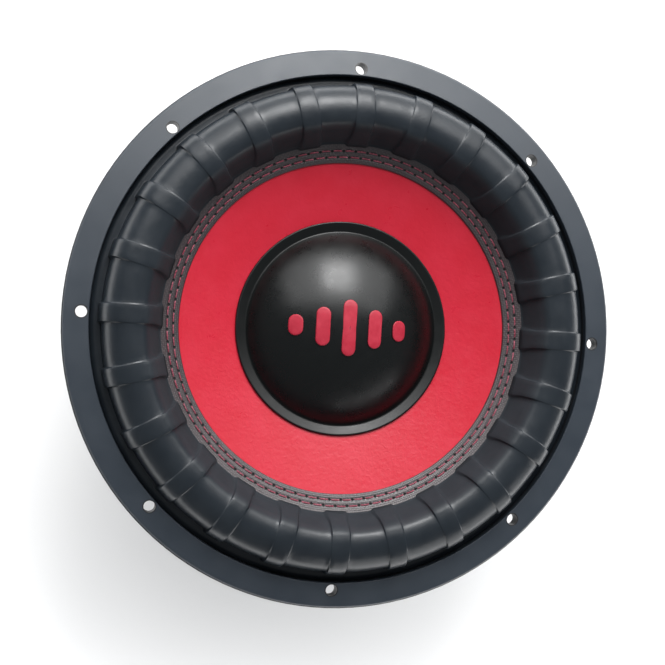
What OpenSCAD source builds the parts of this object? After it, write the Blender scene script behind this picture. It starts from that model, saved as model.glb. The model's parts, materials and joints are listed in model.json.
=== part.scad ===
/* Twelve-inch car subwoofer. The origin is the centre of the flange's rear mounting face,
   +Z is the way the cone faces, and +Y points at one of the mounting holes. Millimetres. */

/* [Flange] */
// Outer diameter of the mounting flange
flange_d = 319.6; // [318:0.2:324]
// Diameter of the circle that the mounting holes lie on
bolt_circle_d = 298; // [297.6:0.1:298.4]
// Number of mounting holes
bolt_count = 8; // [4:4:8]
// Diameter of a mounting hole
bolt_hole_d = 6.6; // [5:0.1:6.8]
// Diameter of the wall that drops into the enclosure's cut-out
cutout_wall_d = 278; // [277:0.5:279]
// Thickness of the metal flange
flange_t = 5.5; // [4:0.5:7]
// Depth of the ledge in the flange that the surround is glued to
ledge_drop = 3; // [2:0.5:3]
// Thickness of the trim ring on the flange, at its inner edge
trim_t = 4; // [3:0.5:5]
// Thickness of the trim ring at its outer edge
trim_edge_t = 2; // [1.5:0.5:3]

/* [Surround] */
// Outside radius of the roll's cross-section
roll_r = 15.8; // [15:0.1:16]
// Height of the roll's straight walls, under its round top
roll_wall_h = 7.6; // [6:0.1:9]
// Thickness of the rubber
surround_t = 2.2; // [1.6:0.1:2.6]
// Number of raised bands over the roll
band_count = 24; // [12:1:30]
// Width of a raised band
band_w = 10.5; // [8:0.5:12]
// How far a band stands out of the roll
band_h = 1.4; // [0.8:0.1:1.8]

/* [Cone] */
// Radius at which the coloured dish meets the edge ring
dish_r = 95; // [94:0.5:96]
// Slope of the coloured dish, in degrees
dish_slope = 14; // [8:1:16]
// Thickness of the cone
cone_t = 1.5; // [1.2:0.1:2]
// Stitches in each row
stitch_count = 92; // [60:1:100]
// Radius of the dust cap's brim
brim_r = 62.2; // [61:0.1:63]
// Radius at which the dome rises from the brim
dome_r = 56; // [54:0.5:57]
// Height of the dome above its brim
dome_h = 23; // [12:0.5:26]

/* [Motor] */
// Diameter of the voice coil former
coil_d = 76.2; // [76:0.1:76.6]
// Height of the winding
winding_h = 38; // [30:1:40]
// Outer diameter of each magnet ring
magnet_d = 180; // [176:1:184]
// Thickness of each magnet ring
magnet_t = 20; // [16:1:22]
// Thickness of the top plate and of the back plate
plate_t = 12; // [10:1:12]
// Depth from the flange's rear face to the top plate
basket_depth = 90; // [88:1:94]

/* [Terminals] */
// Diameter of a wire hole
wire_hole_d = 5.5; // [4:0.1:5.6]
// Travel of a push button
button_travel = 4; // [2:0.1:4]

/* [Hidden] */
$fn = 96;
cut = 0.1;                 // overshoot of a cutting tool
big = 400;                 // larger than the whole loudspeaker
gap = 0.3;                 // room left between bodies that move apart

// Flange and trim ring
flange_r = flange_d / 2;
bolt_r = bolt_circle_d / 2;
wall_r = cutout_wall_d / 2;
wall_t = 6;
wall_h = 12;
edge_chamfer = 0.8;
ledge_z = flange_t - ledge_drop;
trim_r = flange_r - 0.6;
trim_inner_r = bolt_r - bolt_hole_d / 2 - 1;
trim_inner_chamfer = 0.4;

// Surround: the roll stands between the flange's ledge and the cone's edge
lip_t = 1.6;
lip_outer_r = trim_inner_r - 0.3;
roll_outer_r = 137.1;
roll_mid_r = roll_outer_r - roll_r;
roll_inner_r = roll_mid_r - roll_r;
roll_mid_z = ledge_z + lip_t + roll_wall_h;

// Cone, edge ring and stitching
rim_r = 109;
dish_z0 = 3;
edge_ring_r = rim_r - 0.5;
edge_ring_t = 1.6;
stitch_rows_r = [98.2, 101.7];
stitch_size = [4.9, 0.9, 0.5];
stitch_gap = 0.05; // keeps the flat stitches off the conical ring
wrap_t = 0.5;
neck_r = coil_d / 2 + wrap_t;
neck_h = 6;
neck_t = 1.2;
neck_turn_r = 58;
neck_slope = 31;
brim_t = 1.1;
cap_t = 1.2;

// Height of the cone's front at a radius
function dish_z(r) = dish_z0 - (dish_r - r) * tan(dish_slope);

// Voice coil
former_t = 0.5;
coil_r = coil_d / 2;
winding_t = 2.1;
gap_mid_z = -basket_depth - plate_t / 2;
former_top_z = -14;
former_bottom_z = gap_mid_z - winding_h / 2 - 2;
wrap_top_z = former_top_z - 2;
wrap_bottom_z = -57;

// Motor, from the top plate down to the rear bump
plate_r = 85;
magnet_top_z = -basket_depth - plate_t;
magnet_split_z = magnet_top_z - magnet_t;
back_z = magnet_split_z - magnet_t;
rear_z = back_z - plate_t;
bump_h = 6;
bump_r = 50;
bump_draft = 2;
magnet_hole_r = 45;
plate_hole_r = coil_r + winding_t + 0.8;
pole_r = coil_r - former_t - 0.8;
pole_top_z = -basket_depth + 2;
sleeve_t = 2;
sleeve_bottom_z = back_z + 4;
sleeve_top_z = magnet_top_z - 4;
vent_r = 15;
vent_flare = 6;
boot_t = 3;
boot_lip = 4;
boot_bevel = 2;

// Basket
spoke_count = 8;
spoke_w = 22;
spoke_rib_w = 7;
shelf_z = -50;
shelf_t = 7;
shelf_r = 99;
shelf_inner_r = 86.5;
base_t = 6;
base_r = 86;
base_inner_r = 50;
leg_overlap = 3;
rib_h = 4;
rib_root = 9;
motor_screw_r = 68;
motor_screw_d = 6;
motor_screw_len = 16;
motor_hole_r = motor_screw_d / 2 + 0.1;

// Spiders
spider_t = 0.8;
spider_inner_r = neck_r + gap;
spider_outer_r = 94;
spider_wave = 2.4;
spider_waves = 5;
spacer_h = 9;
spider_flat = 8;
wave_steps = 8;

// Terminals, one on each side along X
pad_x = 99;
pad_t = 4;
pad_foot = 7;
pad_slot_gap = 0.3;
pad_w = 56;
pad_bottom_z = -58;
pad_top_z = -32;
housing_x = pad_x + pad_t;
housing_depth = 18;
housing_w = 36;
housing_h = 24;
housing_z = pad_bottom_z;
ear_t = 4;
ear_step = 3;
ear_screw_y = 23;
ear_screw_d = 3.2;
ear_hole_r = ear_screw_d / 2 + 0.2;
wire_y = 9.5;
wire_z = -47;
shaft = [9, 10, 20];
shaft_x = housing_x + 3;
mouth_t = 2;
mouth_step = 1;
button_gap = 0.3;
button_out = 6;
shoulder_h = 11.7;
spring_h = 6 - 2 * cut;
spring_wire_d = 0.8;
spring_r = 2.8;
spring_turns = 2.5;
contact_t = 0.8;
contact_w = 8;
contact_fit = 0.1;
contact_z = [-53, -42];
tab_w = 5;
lug_x = spider_outer_r + 2.4;
lug_top_z = -33;
lug_hole_r = 1;

// Tinsel leads: an arch from the coil's tabs to the solder lugs
lead_r = 1.1;
lead_from = [43.2, -29];
lead_to = [lug_x - 0.5, -36];
lead_rise = 5;
lead_steps = 16;
lead_tab_w = 4;
lead_tab_h = 8;

// A ring with a rectangular cross-section
module ring(outer_r, inner_r, z, h) {
    rotate_extrude() translate([inner_r, z]) square([outer_r - inner_r, h]);
}

// Copies of the children, evenly spaced round the Z axis
module around(count, first = 0) {
    for (i = [0 : count - 1]) rotate(first + i * 360 / count) children();
}

// Upright holes on a circle
module holes(count, circle_r, hole_r, z, h, first = 0) {
    around(count, first) translate([circle_r, 0, z]) cylinder(r = hole_r, h = h);
}

// A tube of round section swept along a list of points
function unit(v) = v / norm(v);
function direction(path, i) =
    unit(path[min(i + 1, len(path) - 1)] - path[max(i - 1, 0)]);
function side_of(d) = unit(cross(d, abs(d.z) < 0.9 ? [0, 0, 1] : [0, 1, 0]));
function ring_points(path, i, r, sides) =
    let (d = direction(path, i), u = side_of(d), v = cross(d, u))
    [for (k = [0 : sides - 1])
        path[i] + r * (u * cos(360 * k / sides) + v * sin(360 * k / sides))];

module sweep(path, r, sides = 8) {
    last = len(path) - 1;
    points = [for (i = [0 : last]) each ring_points(path, i, r, sides)];
    walls = [for (i = [0 : last - 1], k = [0 : sides - 1])
        let (a = i * sides, b = a + sides, n = (k + 1) % sides)
        each [[a + k, a + n, b + k], [a + n, b + n, b + k]]];
    ends = [[for (k = [sides - 1 : -1 : 0]) k], [for (k = [0 : sides - 1]) last * sides + k]];
    polyhedron(points, concat(walls, ends));
}

// The two ends of the X axis, for the pieces that both terminals have
module side_a() { children(); }
module side_b() { rotate(180) children(); }

// ---------------------------------------------------------------- basket

module spoke_bars(width) {
    around(spoke_count, 180 / spoke_count)
        translate([base_inner_r, -width / 2, -basket_depth])
            cube([wall_r, width, basket_depth]);
}

module spoke_walls() {
    rotate_extrude() {
        polygon([[wall_r - wall_t, -wall_h], [wall_r, -wall_h],
                 [shelf_r, shelf_z - leg_overlap], [shelf_r - wall_t, shelf_z - leg_overlap]]);
        polygon([[shelf_r - wall_t, shelf_z - shelf_t], [shelf_r, shelf_z - shelf_t],
                 [base_r, -basket_depth], [base_r - wall_t, -basket_depth]]);
    }
}

module spoke_ribs() {
    rotate_extrude()
        polygon([[wall_r, -wall_h / 2], [wall_r, -wall_h - rib_root],
                 [shelf_r + rib_h, shelf_z - shelf_t], [base_r + rib_h, -basket_depth],
                 [base_r - leg_overlap, -basket_depth],
                 [shelf_r - leg_overlap, shelf_z - shelf_t],
                 [shelf_r - leg_overlap, shelf_z - leg_overlap],
                 [wall_r - leg_overlap, -wall_h]]);
}

module terminal_pad() {
    translate([pad_x, -pad_w / 2, pad_bottom_z]) cube([pad_t, pad_w, pad_top_z - pad_bottom_z]);
    translate([shelf_r - pad_foot, -pad_w / 2, shelf_z - shelf_t])
        cube([pad_foot + cut, pad_w, shelf_t]);
}

module terminal_pad_holes() {
    for (y = [-ear_screw_y, ear_screw_y])
        translate([pad_x - cut, y, wire_z]) rotate([0, 90, 0])
            cylinder(r = ear_hole_r, h = pad_t + 2 * cut);
    for (y = [-wire_y, wire_y])
        translate([pad_x - cut, y - tab_w / 2 - pad_slot_gap, wire_z - contact_t])
            cube([pad_t + 2 * cut, tab_w + 2 * pad_slot_gap, 2 * contact_t]);
}

module basket() {
    color([0.17, 0.18, 0.20])
    difference() {
        union() {
            rotate_extrude()
                polygon([[wall_r - wall_t, -wall_h], [wall_r, -wall_h], [wall_r, 0],
                         [flange_r - edge_chamfer, 0], [flange_r, edge_chamfer],
                         [flange_r, flange_t], [trim_inner_r, flange_t],
                         [trim_inner_r, ledge_z], [wall_r - wall_t + edge_chamfer, ledge_z],
                         [wall_r - wall_t, ledge_z - edge_chamfer]]);
            ring(shelf_r, shelf_inner_r, shelf_z - shelf_t, shelf_t);
            ring(base_r, base_inner_r, -basket_depth, base_t);
            intersection() {
                spoke_walls();
                spoke_bars(spoke_w);
            }
            intersection() {
                spoke_ribs();
                spoke_bars(spoke_rib_w);
            }
            side_a() terminal_pad();
            side_b() terminal_pad();
        }
        holes(bolt_count, bolt_r, bolt_hole_d / 2, -cut, flange_t + 2 * cut, 90);
        holes(spoke_count, motor_screw_r, motor_hole_r, -basket_depth - cut, base_t + 2 * cut);
        side_a() terminal_pad_holes();
        side_b() terminal_pad_holes();
    }
}

module trim_ring() {
    color([0.27, 0.29, 0.32])
    difference() {
        rotate_extrude()
            polygon([[trim_inner_r, flange_t], [trim_r, flange_t],
                     [trim_r, flange_t + trim_edge_t - edge_chamfer],
                     [trim_r - edge_chamfer, flange_t + trim_edge_t],
                     [trim_inner_r + trim_inner_chamfer, flange_t + trim_t],
                     [trim_inner_r, flange_t + trim_t - trim_inner_chamfer]]);
        holes(bolt_count, bolt_r, bolt_hole_d / 2, flange_t - cut, trim_t + 2 * cut, 90);
    }
}

// -------------------------------------------------------------- surround

// Section of the roll's outline, grown or shrunk by a thickness, with walls down past its foot
module roll_outline(grow) {
    translate([roll_mid_r, roll_mid_z]) circle(roll_r + grow);
    translate([roll_mid_r - roll_r - grow, 0]) square([2 * (roll_r + grow), roll_mid_z]);
}

// Section of the space above the sloping edge ring, and above the flat ledge outside it
module above_seats() {
    inner_r = roll_inner_r - 3 * band_h;
    seat = edge_ring_t + gap;
    polygon([[inner_r, dish_z(inner_r) + seat], [roll_mid_r, dish_z(roll_mid_r) + seat],
             [roll_mid_r, ledge_z], [flange_r, ledge_z], [flange_r, big], [inner_r, big]]);
}

module roll_section(grow) {
    intersection() {
        difference() {
            roll_outline(grow);
            roll_outline(-surround_t);
        }
        above_seats();
    }
}

module surround() {
    color([0.12, 0.13, 0.14])
    union() {
        rotate_extrude() roll_section(0);
        ring(lip_outer_r, roll_outer_r - surround_t, ledge_z, lip_t);
        intersection() {
            rotate_extrude() roll_section(band_h);
            around(band_count, 90)
                translate([roll_inner_r - 3 * band_h, -band_w / 2, 0])
                    cube([3 * roll_r, band_w, big]);
        }
    }
}

// --------------------------------------------------------------- spiders

function spider_height(r) =
    let (start = spider_inner_r + spider_flat, end = spider_outer_r - spider_flat)
    r < start || r > end
        ? 0
        : spider_wave * sin(360 * spider_waves * (r - start) / (end - start));

module spider(z) {
    steps = spider_waves * wave_steps + 4;
    radii = [for (i = [0 : steps]) spider_inner_r + (spider_outer_r - spider_inner_r) * i / steps];
    rotate_extrude()
        polygon(concat([for (r = radii) [r, z + spider_height(r)]],
                       [for (i = [steps : -1 : 0]) [radii[i], z + spider_height(radii[i]) + spider_t]]));
}

module spider_lower() {
    color([0.85, 0.72, 0.42]) spider(shelf_z);
}

module spider_spacer() {
    color([0.10, 0.10, 0.11])
        ring(spider_outer_r, spider_outer_r - spider_flat + 1, shelf_z + spider_t, spacer_h);
}

module spider_upper() {
    color([0.85, 0.72, 0.42]) spider(shelf_z + spider_t + spacer_h);
}

// ----------------------------------------------------------------- motor

module top_plate() {
    color([0.10, 0.10, 0.11])
    difference() {
        ring(plate_r, plate_hole_r, magnet_top_z, plate_t);
        holes(spoke_count, motor_screw_r, motor_hole_r, magnet_top_z - cut, plate_t + 2 * cut);
    }
}

module magnet_front() {
    color([0.16, 0.16, 0.17]) ring(magnet_d / 2, magnet_hole_r, magnet_split_z, magnet_t);
}

module magnet_rear() {
    color([0.16, 0.16, 0.17]) ring(magnet_d / 2, magnet_hole_r, back_z, magnet_t);
}

module back_plate_and_pole() {
    color([0.10, 0.10, 0.11])
    rotate_extrude()
        polygon([[vent_r, rear_z], [vent_r, pole_top_z - 2 * edge_chamfer],
                 [vent_r + 2 * edge_chamfer, pole_top_z],
                 [pole_r - edge_chamfer, pole_top_z], [pole_r, pole_top_z - edge_chamfer],
                 [pole_r, sleeve_top_z], [pole_r - sleeve_t, sleeve_top_z],
                 [pole_r - sleeve_t, sleeve_bottom_z], [pole_r, sleeve_bottom_z],
                 [pole_r, back_z], [plate_r, back_z], [plate_r, rear_z],
                 [bump_r + bump_draft, rear_z], [bump_r, rear_z - bump_h],
                 [vent_r + vent_flare, rear_z - bump_h]]);
}

module shorting_sleeve() {
    color([0.80, 0.81, 0.83])
        ring(pole_r - 0.1, pole_r - sleeve_t, sleeve_bottom_z, sleeve_top_z - sleeve_bottom_z);
}

module magnet_boot() {
    fit = 0.2;
    inner = magnet_d / 2 + fit;
    outer = inner + boot_t;
    lip_r = plate_r + fit;
    front_z = magnet_top_z + boot_lip;
    bottom_z = rear_z - boot_bevel;
    color([0.07, 0.07, 0.08])
    rotate_extrude()
        polygon([[lip_r, bottom_z], [outer - boot_bevel, bottom_z],
                 [outer, bottom_z + boot_bevel], [outer, front_z - boot_bevel],
                 [outer - boot_bevel, front_z], [lip_r, front_z],
                 [lip_r, magnet_top_z + fit], [inner, magnet_top_z + fit],
                 [inner, back_z - fit], [lip_r, back_z - fit]]);
}

module vent_screen() {
    screen_z = rear_z + 3;
    screen_t = 1;
    hole_r = 1.6;
    pitch = 4.6;
    color([0.30, 0.30, 0.32])
    difference() {
        translate([0, 0, screen_z]) cylinder(r = vent_r - 0.05, h = screen_t);
        translate([0, 0, screen_z - cut]) cylinder(r = hole_r, h = screen_t + 2 * cut);
        for (k = [1, 2])
            holes(6 * k, pitch * k, hole_r, screen_z - cut, screen_t + 2 * cut);
    }
}

module motor_screws() {
    head_r = 5;
    head_h = 6;
    socket_r = 2.9;
    socket_h = 3;
    color([0.12, 0.12, 0.13])
    around(spoke_count)
        translate([motor_screw_r, 0, -basket_depth + base_t]) difference() {
            union() {
                cylinder(r = head_r, h = head_h);
                translate([0, 0, -motor_screw_len + cut])
                    cylinder(r = motor_screw_d / 2, h = motor_screw_len);
            }
            translate([0, 0, head_h - socket_h])
                cylinder(r = socket_r, h = socket_h + cut, $fn = 6);
        }
}

// ------------------------------------------------------------- terminals

// A contact strip, or the pocket for it when it is grown
module contact(y, grow = 0) {
    translate([shaft_x - contact_t - grow, y - contact_w / 2 - grow, contact_z[0] - grow])
        cube([contact_t + grow, contact_w + 2 * grow,
              contact_z[1] - contact_z[0] + 2 * grow]);
    translate([lug_x, y - tab_w / 2 - grow, wire_z - contact_t / 2 - grow])
        cube([shaft_x - contact_t / 2 - lug_x, tab_w + 2 * grow, contact_t + 2 * grow]);
    translate([lug_x, y - tab_w / 2, wire_z - contact_t / 2])
        cube([contact_t, tab_w, lug_top_z - wire_z + contact_t / 2]);
}

module terminal_housing() {
    color([0.08, 0.08, 0.09])
    difference() {
        union() {
            translate([housing_x, -housing_w / 2, housing_z])
                cube([housing_depth, housing_w, housing_h]);
            translate([housing_x, -pad_w / 2, housing_z + ear_step])
                cube([ear_t, pad_w, housing_h - 2 * ear_step]);
        }
        for (y = [-wire_y, wire_y]) {
            translate([shaft_x, y - shaft.y / 2, housing_z + mouth_t])
                cube([shaft.x, shaft.y, shaft.z - mouth_t]);
            translate([shaft_x + mouth_step, y - shaft.y / 2 + mouth_step, housing_z - cut])
                cube([shaft.x - 2 * mouth_step, shaft.y - 2 * mouth_step, mouth_t + 2 * cut]);
            translate([shaft_x + shaft.x - cut, y, wire_z]) rotate([0, 90, 0])
                cylinder(r = wire_hole_d / 2, h = big);
            contact(y, contact_fit);
        }
        for (y = [-ear_screw_y, ear_screw_y])
            translate([housing_x - cut, y, wire_z]) rotate([0, 90, 0])
                cylinder(r = ear_hole_r, h = ear_t + 2 * cut);
    }
}

module terminal_contacts() {
    color([0.83, 0.66, 0.30])
    difference() {
        for (y = [-wire_y, wire_y]) contact(y);
        for (y = [-wire_y, wire_y])
            translate([lug_x - cut, y, lug_top_z - tab_w / 2]) rotate([0, 90, 0])
                cylinder(r = lug_hole_r, h = contact_t + 2 * cut);
    }
}

module terminal_screw_pair() {
    head_r = 3;
    head_h = 2.2;
    length = 9;
    slot = [4, 0.8, 1];
    for (y = [-ear_screw_y, ear_screw_y])
        translate([housing_x + ear_t, y, wire_z]) rotate([0, 90, 0]) difference() {
            union() {
                cylinder(r = head_r, h = head_h);
                translate([0, 0, -length]) cylinder(r = ear_screw_d / 2, h = length + cut);
            }
            for (turn = [0, 90]) rotate(turn)
                translate([-slot.x / 2, -slot.y / 2, head_h - slot.z])
                    cube([slot.x, slot.y, slot.z + cut]);
        }
}

module terminal_screws() {
    color([0.75, 0.75, 0.77]) {
        side_a() terminal_screw_pair();
        side_b() terminal_screw_pair();
    }
}

// A push button at rest: its wire hole lines up with the housing's when it is pressed
module button(y) {
    body = [shaft.x - 2 * button_gap, shaft.y - 2 * button_gap, shoulder_h];
    neck = [body.x - 2 * mouth_step, body.y - 2 * mouth_step];
    bottom_z = housing_z + mouth_t + button_gap;
    middle_x = shaft_x + shaft.x / 2;
    difference() {
        union() {
            translate([middle_x - body.x / 2, y - body.y / 2, bottom_z]) cube(body);
            translate([middle_x - neck.x / 2, y - neck.y / 2, housing_z - button_out])
                cube([neck.x, neck.y, button_out + mouth_t + button_gap + cut]);
        }
        translate([shaft_x - cut, y, wire_z - button_travel]) rotate([0, 90, 0])
            cylinder(r = wire_hole_d / 2, h = shaft.x + 2 * cut);
    }
}

module pos_button() {
    color([0.70, 0.08, 0.10]) button(wire_y);
}

module neg_button() {
    color([0.06, 0.06, 0.07]) button(-wire_y);
}

module spring(y) {
    base_z = housing_z + mouth_t + button_gap + shoulder_h + cut;
    rise = spring_h - spring_wire_d;
    turn_steps = 16;
    steps = spring_turns * turn_steps;
    color([0.78, 0.78, 0.80])
        translate([shaft_x + shaft.x / 2, y, base_z + spring_wire_d / 2])
            sweep([for (i = [0 : steps]) let (turn = 360 * i / turn_steps)
                [spring_r * cos(turn), spring_r * sin(turn), rise * i / steps]],
                spring_wire_d / 2, 6);
}

// One lead's centre line, an arch in the upright plane at y
function lead_path(y) = [for (i = [0 : lead_steps])
    let (t = i / lead_steps, from = lead_from, to = lead_to)
    [from.x + (to.x - from.x) * t, y, from.y + (to.y - from.y) * t + lead_rise * sin(180 * t)]];

module tinsel_leads() {
    color([0.78, 0.72, 0.62])
        for (y = [-wire_y, wire_y]) sweep(lead_path(y), lead_r);
}

// ------------------------------------------------------------ moving cone

neck_turn_z = dish_z(neck_turn_r);
neck_z = neck_turn_z - (neck_turn_r - neck_r) * tan(neck_slope);

module cone() {
    color([0.78, 0.10, 0.16])
    rotate_extrude()
        polygon([[rim_r, dish_z(rim_r)], [neck_turn_r, neck_turn_z], [neck_r, neck_z],
                 [neck_r, neck_z - neck_h], [neck_r + neck_t, neck_z - neck_h],
                 [neck_r + neck_t, neck_z - cone_t], [neck_turn_r, neck_turn_z - cone_t],
                 [rim_r, dish_z(rim_r) - cone_t]]);
}

module edge_ring() {
    color([0.20, 0.19, 0.20])
    rotate_extrude()
        polygon([[dish_r, dish_z(dish_r)], [edge_ring_r, dish_z(edge_ring_r)],
                 [edge_ring_r, dish_z(edge_ring_r) + edge_ring_t],
                 [dish_r, dish_z(dish_r) + edge_ring_t]]);
}

module stitches(row, shift) {
    r = stitch_rows_r[row];
    color([0.80, 0.35, 0.42])
        around(stitch_count, 90 + shift * 360 / stitch_count)
            translate([r, 0, dish_z(r) + edge_ring_t + stitch_gap]) rotate([0, -dish_slope, 0])
                translate([-stitch_size.y / 2, -stitch_size.x / 2, 0])
                    cube([stitch_size.y, stitch_size.x, stitch_size.z]);
}

dome_base_z = dish_z(dome_r) + brim_t;
dome_ball_r = (dome_r * dome_r + dome_h * dome_h) / (2 * dome_h);
dome_ball_z = dome_base_z + dome_h - dome_ball_r;

// Section of a thin skin on the dome's ball, from the axis out to a radius
module dome_skin(inside, outside, reach) {
    intersection() {
        translate([0, dome_ball_z]) difference() {
            circle(dome_ball_r + outside, $fn = 360);
            circle(dome_ball_r - inside, $fn = 360);
        }
        translate([0, dome_base_z - 2]) square([reach, dome_h + 6]);
    }
}

module dust_cap() {
    color([0.05, 0.05, 0.06])
    rotate_extrude() {
        dome_skin(cap_t, 0, dome_r);
        polygon([[dome_r - 1, dish_z(dome_r - 1)], [brim_r, dish_z(brim_r)],
                 [brim_r, dish_z(brim_r) + brim_t], [dome_r - 1, dome_base_z]]);
    }
}

// A plain level-meter mark: upright bars, tallest in the middle
emblem_bars = [12, 22, 32, 22, 12];
emblem_pitch = 15;
emblem_bar_w = 8;
emblem_h = 1;

module emblem() {
    color([0.75, 0.12, 0.20])
    intersection() {
        rotate_extrude() dome_skin(0, emblem_h, dome_r - emblem_bar_w);
        for (i = [0 : len(emblem_bars) - 1])
            translate([(i - (len(emblem_bars) - 1) / 2) * emblem_pitch, 0, 0])
                linear_extrude(big) {
                    square([emblem_bar_w, emblem_bars[i] - emblem_bar_w], center = true);
                    for (end = [-1, 1])
                        translate([0, end * (emblem_bars[i] - emblem_bar_w) / 2])
                            circle(emblem_bar_w / 2);
                }
    }
}

module coil_former() {
    color([0.70, 0.72, 0.75])
        ring(coil_r, coil_r - former_t, former_bottom_z, former_top_z - former_bottom_z);
}

module former_wrap() {
    color([0.60, 0.45, 0.28])
        ring(neck_r, coil_r, wrap_bottom_z, wrap_top_z - wrap_bottom_z);
}

module coil_winding() {
    color([0.72, 0.40, 0.20])
        ring(coil_r + winding_t, coil_r, gap_mid_z - winding_h / 2, winding_h);
}

// Solder tabs on the former's wrap, where the leads start
module lead_tabs() {
    color([0.83, 0.66, 0.30])
    difference() {
        for (turn = [0, 180], y = [-wire_y, wire_y])
            rotate(turn) translate([pole_r, y - lead_tab_w / 2, lead_from.y - lead_tab_h / 2])
                cube([lead_from.x - gap - pole_r, lead_tab_w, lead_tab_h]);
        translate([0, 0, -big / 2]) cylinder(r = neck_r, h = big);
    }
}

basket();
trim_ring();
surround();
spider_upper();
spider_lower();
spider_spacer();
top_plate();
magnet_front();
magnet_rear();
back_plate_and_pole();
shorting_sleeve();
magnet_boot();
vent_screen();
motor_screws();
side_a() terminal_housing();  // terminal_housing_a
side_b() terminal_housing();  // terminal_housing_b
side_a() terminal_contacts();  // terminal_contacts_a
side_b() terminal_contacts();  // terminal_contacts_b
terminal_screws();
side_a() tinsel_leads();  // tinsel_leads_a
side_b() tinsel_leads();  // tinsel_leads_b
side_a() spring(wire_y);  // spring_a_pos
side_a() spring(-wire_y);  // spring_a_neg
side_b() spring(wire_y);  // spring_b_pos
side_b() spring(-wire_y);  // spring_b_neg
side_a() pos_button();  // button_a_pos
side_a() neg_button();  // button_a_neg
side_b() pos_button();  // button_b_pos
side_b() neg_button();  // button_b_neg
cone();
edge_ring();
stitches(0, 0);  // stitches_inner
stitches(1, 0.5);  // stitches_outer
dust_cap();
emblem();
coil_former();
former_wrap();
coil_winding();
lead_tabs();
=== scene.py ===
"""Looks of the car subwoofer: fine pieces, materials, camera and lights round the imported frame."""
import json
import math

import bmesh
import bpy
from mathutils import Matrix, Vector


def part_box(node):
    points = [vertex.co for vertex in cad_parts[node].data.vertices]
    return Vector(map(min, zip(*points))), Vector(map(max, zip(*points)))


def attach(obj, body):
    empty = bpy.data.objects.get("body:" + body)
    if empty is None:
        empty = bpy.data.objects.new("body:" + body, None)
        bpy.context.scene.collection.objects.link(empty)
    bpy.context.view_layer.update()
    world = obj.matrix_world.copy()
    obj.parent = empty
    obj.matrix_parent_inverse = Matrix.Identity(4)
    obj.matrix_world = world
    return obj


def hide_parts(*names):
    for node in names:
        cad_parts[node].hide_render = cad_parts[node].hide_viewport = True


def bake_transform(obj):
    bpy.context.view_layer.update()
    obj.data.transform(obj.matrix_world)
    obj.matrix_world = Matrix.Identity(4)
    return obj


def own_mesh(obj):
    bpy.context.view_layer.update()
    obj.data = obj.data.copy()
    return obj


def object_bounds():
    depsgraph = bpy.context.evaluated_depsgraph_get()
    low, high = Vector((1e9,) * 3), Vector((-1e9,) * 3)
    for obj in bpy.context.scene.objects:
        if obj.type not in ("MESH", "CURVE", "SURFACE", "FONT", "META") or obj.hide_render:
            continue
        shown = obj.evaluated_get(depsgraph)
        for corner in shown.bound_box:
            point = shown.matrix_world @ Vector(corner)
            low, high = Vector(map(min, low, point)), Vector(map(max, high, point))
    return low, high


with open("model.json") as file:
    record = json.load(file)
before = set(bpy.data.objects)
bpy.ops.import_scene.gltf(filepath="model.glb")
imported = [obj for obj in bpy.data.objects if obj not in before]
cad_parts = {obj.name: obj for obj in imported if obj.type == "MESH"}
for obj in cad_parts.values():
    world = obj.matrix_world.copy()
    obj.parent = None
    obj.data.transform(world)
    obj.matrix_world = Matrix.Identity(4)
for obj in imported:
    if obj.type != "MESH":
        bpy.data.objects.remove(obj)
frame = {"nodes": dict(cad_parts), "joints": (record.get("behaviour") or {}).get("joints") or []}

cad_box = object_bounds()
MM = 0.001
TURN = 2 * math.pi


# ------------------------------------------------------------------ sizes
# Lengths are in metres. What the frame's boxes give is read from them.

def low(node):
    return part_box(node)[0]


def high(node):
    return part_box(node)[1]


FLANGE_TOP = high("trim_ring").z
LEDGE_Z = low("surround").z            # where the surround's lip lies on the frame

HOLES = 8
HOLE_R = 3.3 * MM
HOLE_RING_R = 149 * MM

ROLL_R = 15.8 * MM                     # outside radius of the surround's roll
ROLL_OUTER_R = 138 * MM
ROLL_MID_R = ROLL_OUTER_R - ROLL_R
ROLL_INNER_R = ROLL_MID_R - ROLL_R
RUBBER = 2.2 * MM                      # thickness of the surround
LIP = 1.6 * MM
BANDS = 24
BAND_W = 10.5 * MM
BAND_H = 1.4 * MM
BAND_EDGE = 0.5 * MM                   # half the width of a band's sloping side
BAND_FADE = 0.75                       # share of a band's height that is lost over the crest
BAND_FLARE = 1.1 * MM                  # how much wider to each side a band is at the foot
EDGE_FLARE = 2.0                       # how much softer its sides are there, as a share
TOE = 1.0 * MM                         # how far the foot spreads onto the edge ring
ROLL_MID_Z = high("surround").z - BAND_H - ROLL_R

DISH_SLOPE = math.radians(14)
DISH_R = 95 * MM
RIM_R = high("cone").x
RIM_Z = high("cone").z
RING_T = 1.1 * MM                      # thickness of the edge ring at its inner edge
RING_RISE = 0.08                       # how much thicker it gets outwards
RING_OUTER_R = high("edge_ring").x

STITCHES = 92                          # in each row
# Each row's radius, and how far it is shifted round, in stitches.
STITCH_ROWS = {"inner": (98.2 * MM, 0.0), "outer": (101.7 * MM, 0.5)}
STITCH_L = 5.0 * MM
NEEDLE_R = 0.78 * MM
THREAD_R = 0.21 * MM                   # radius of one of the thread's two plies

NECK_SLOPE = math.radians(31)
CONE_T = 1.5 * MM
NECK_TURN_R = 58 * MM
NECK_R = high("former_wrap").x
BRIM_R = high("dust_cap").x
DOME_R = 56 * MM
DOME_H = 23 * MM
BRIM_T = 1.1 * MM

EMBLEM_BARS = [12 * MM, 22 * MM, 32 * MM, 22 * MM, 12 * MM]
EMBLEM_PITCH = 15 * MM
EMBLEM_W = 8 * MM
EMBLEM_H = 0.95 * MM

SPIDER_T = 0.7 * MM
SPIDER_WAVE = 2.4 * MM
SPIDER_WAVES = 5
SPIDER_FLAT = 8 * MM

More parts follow.
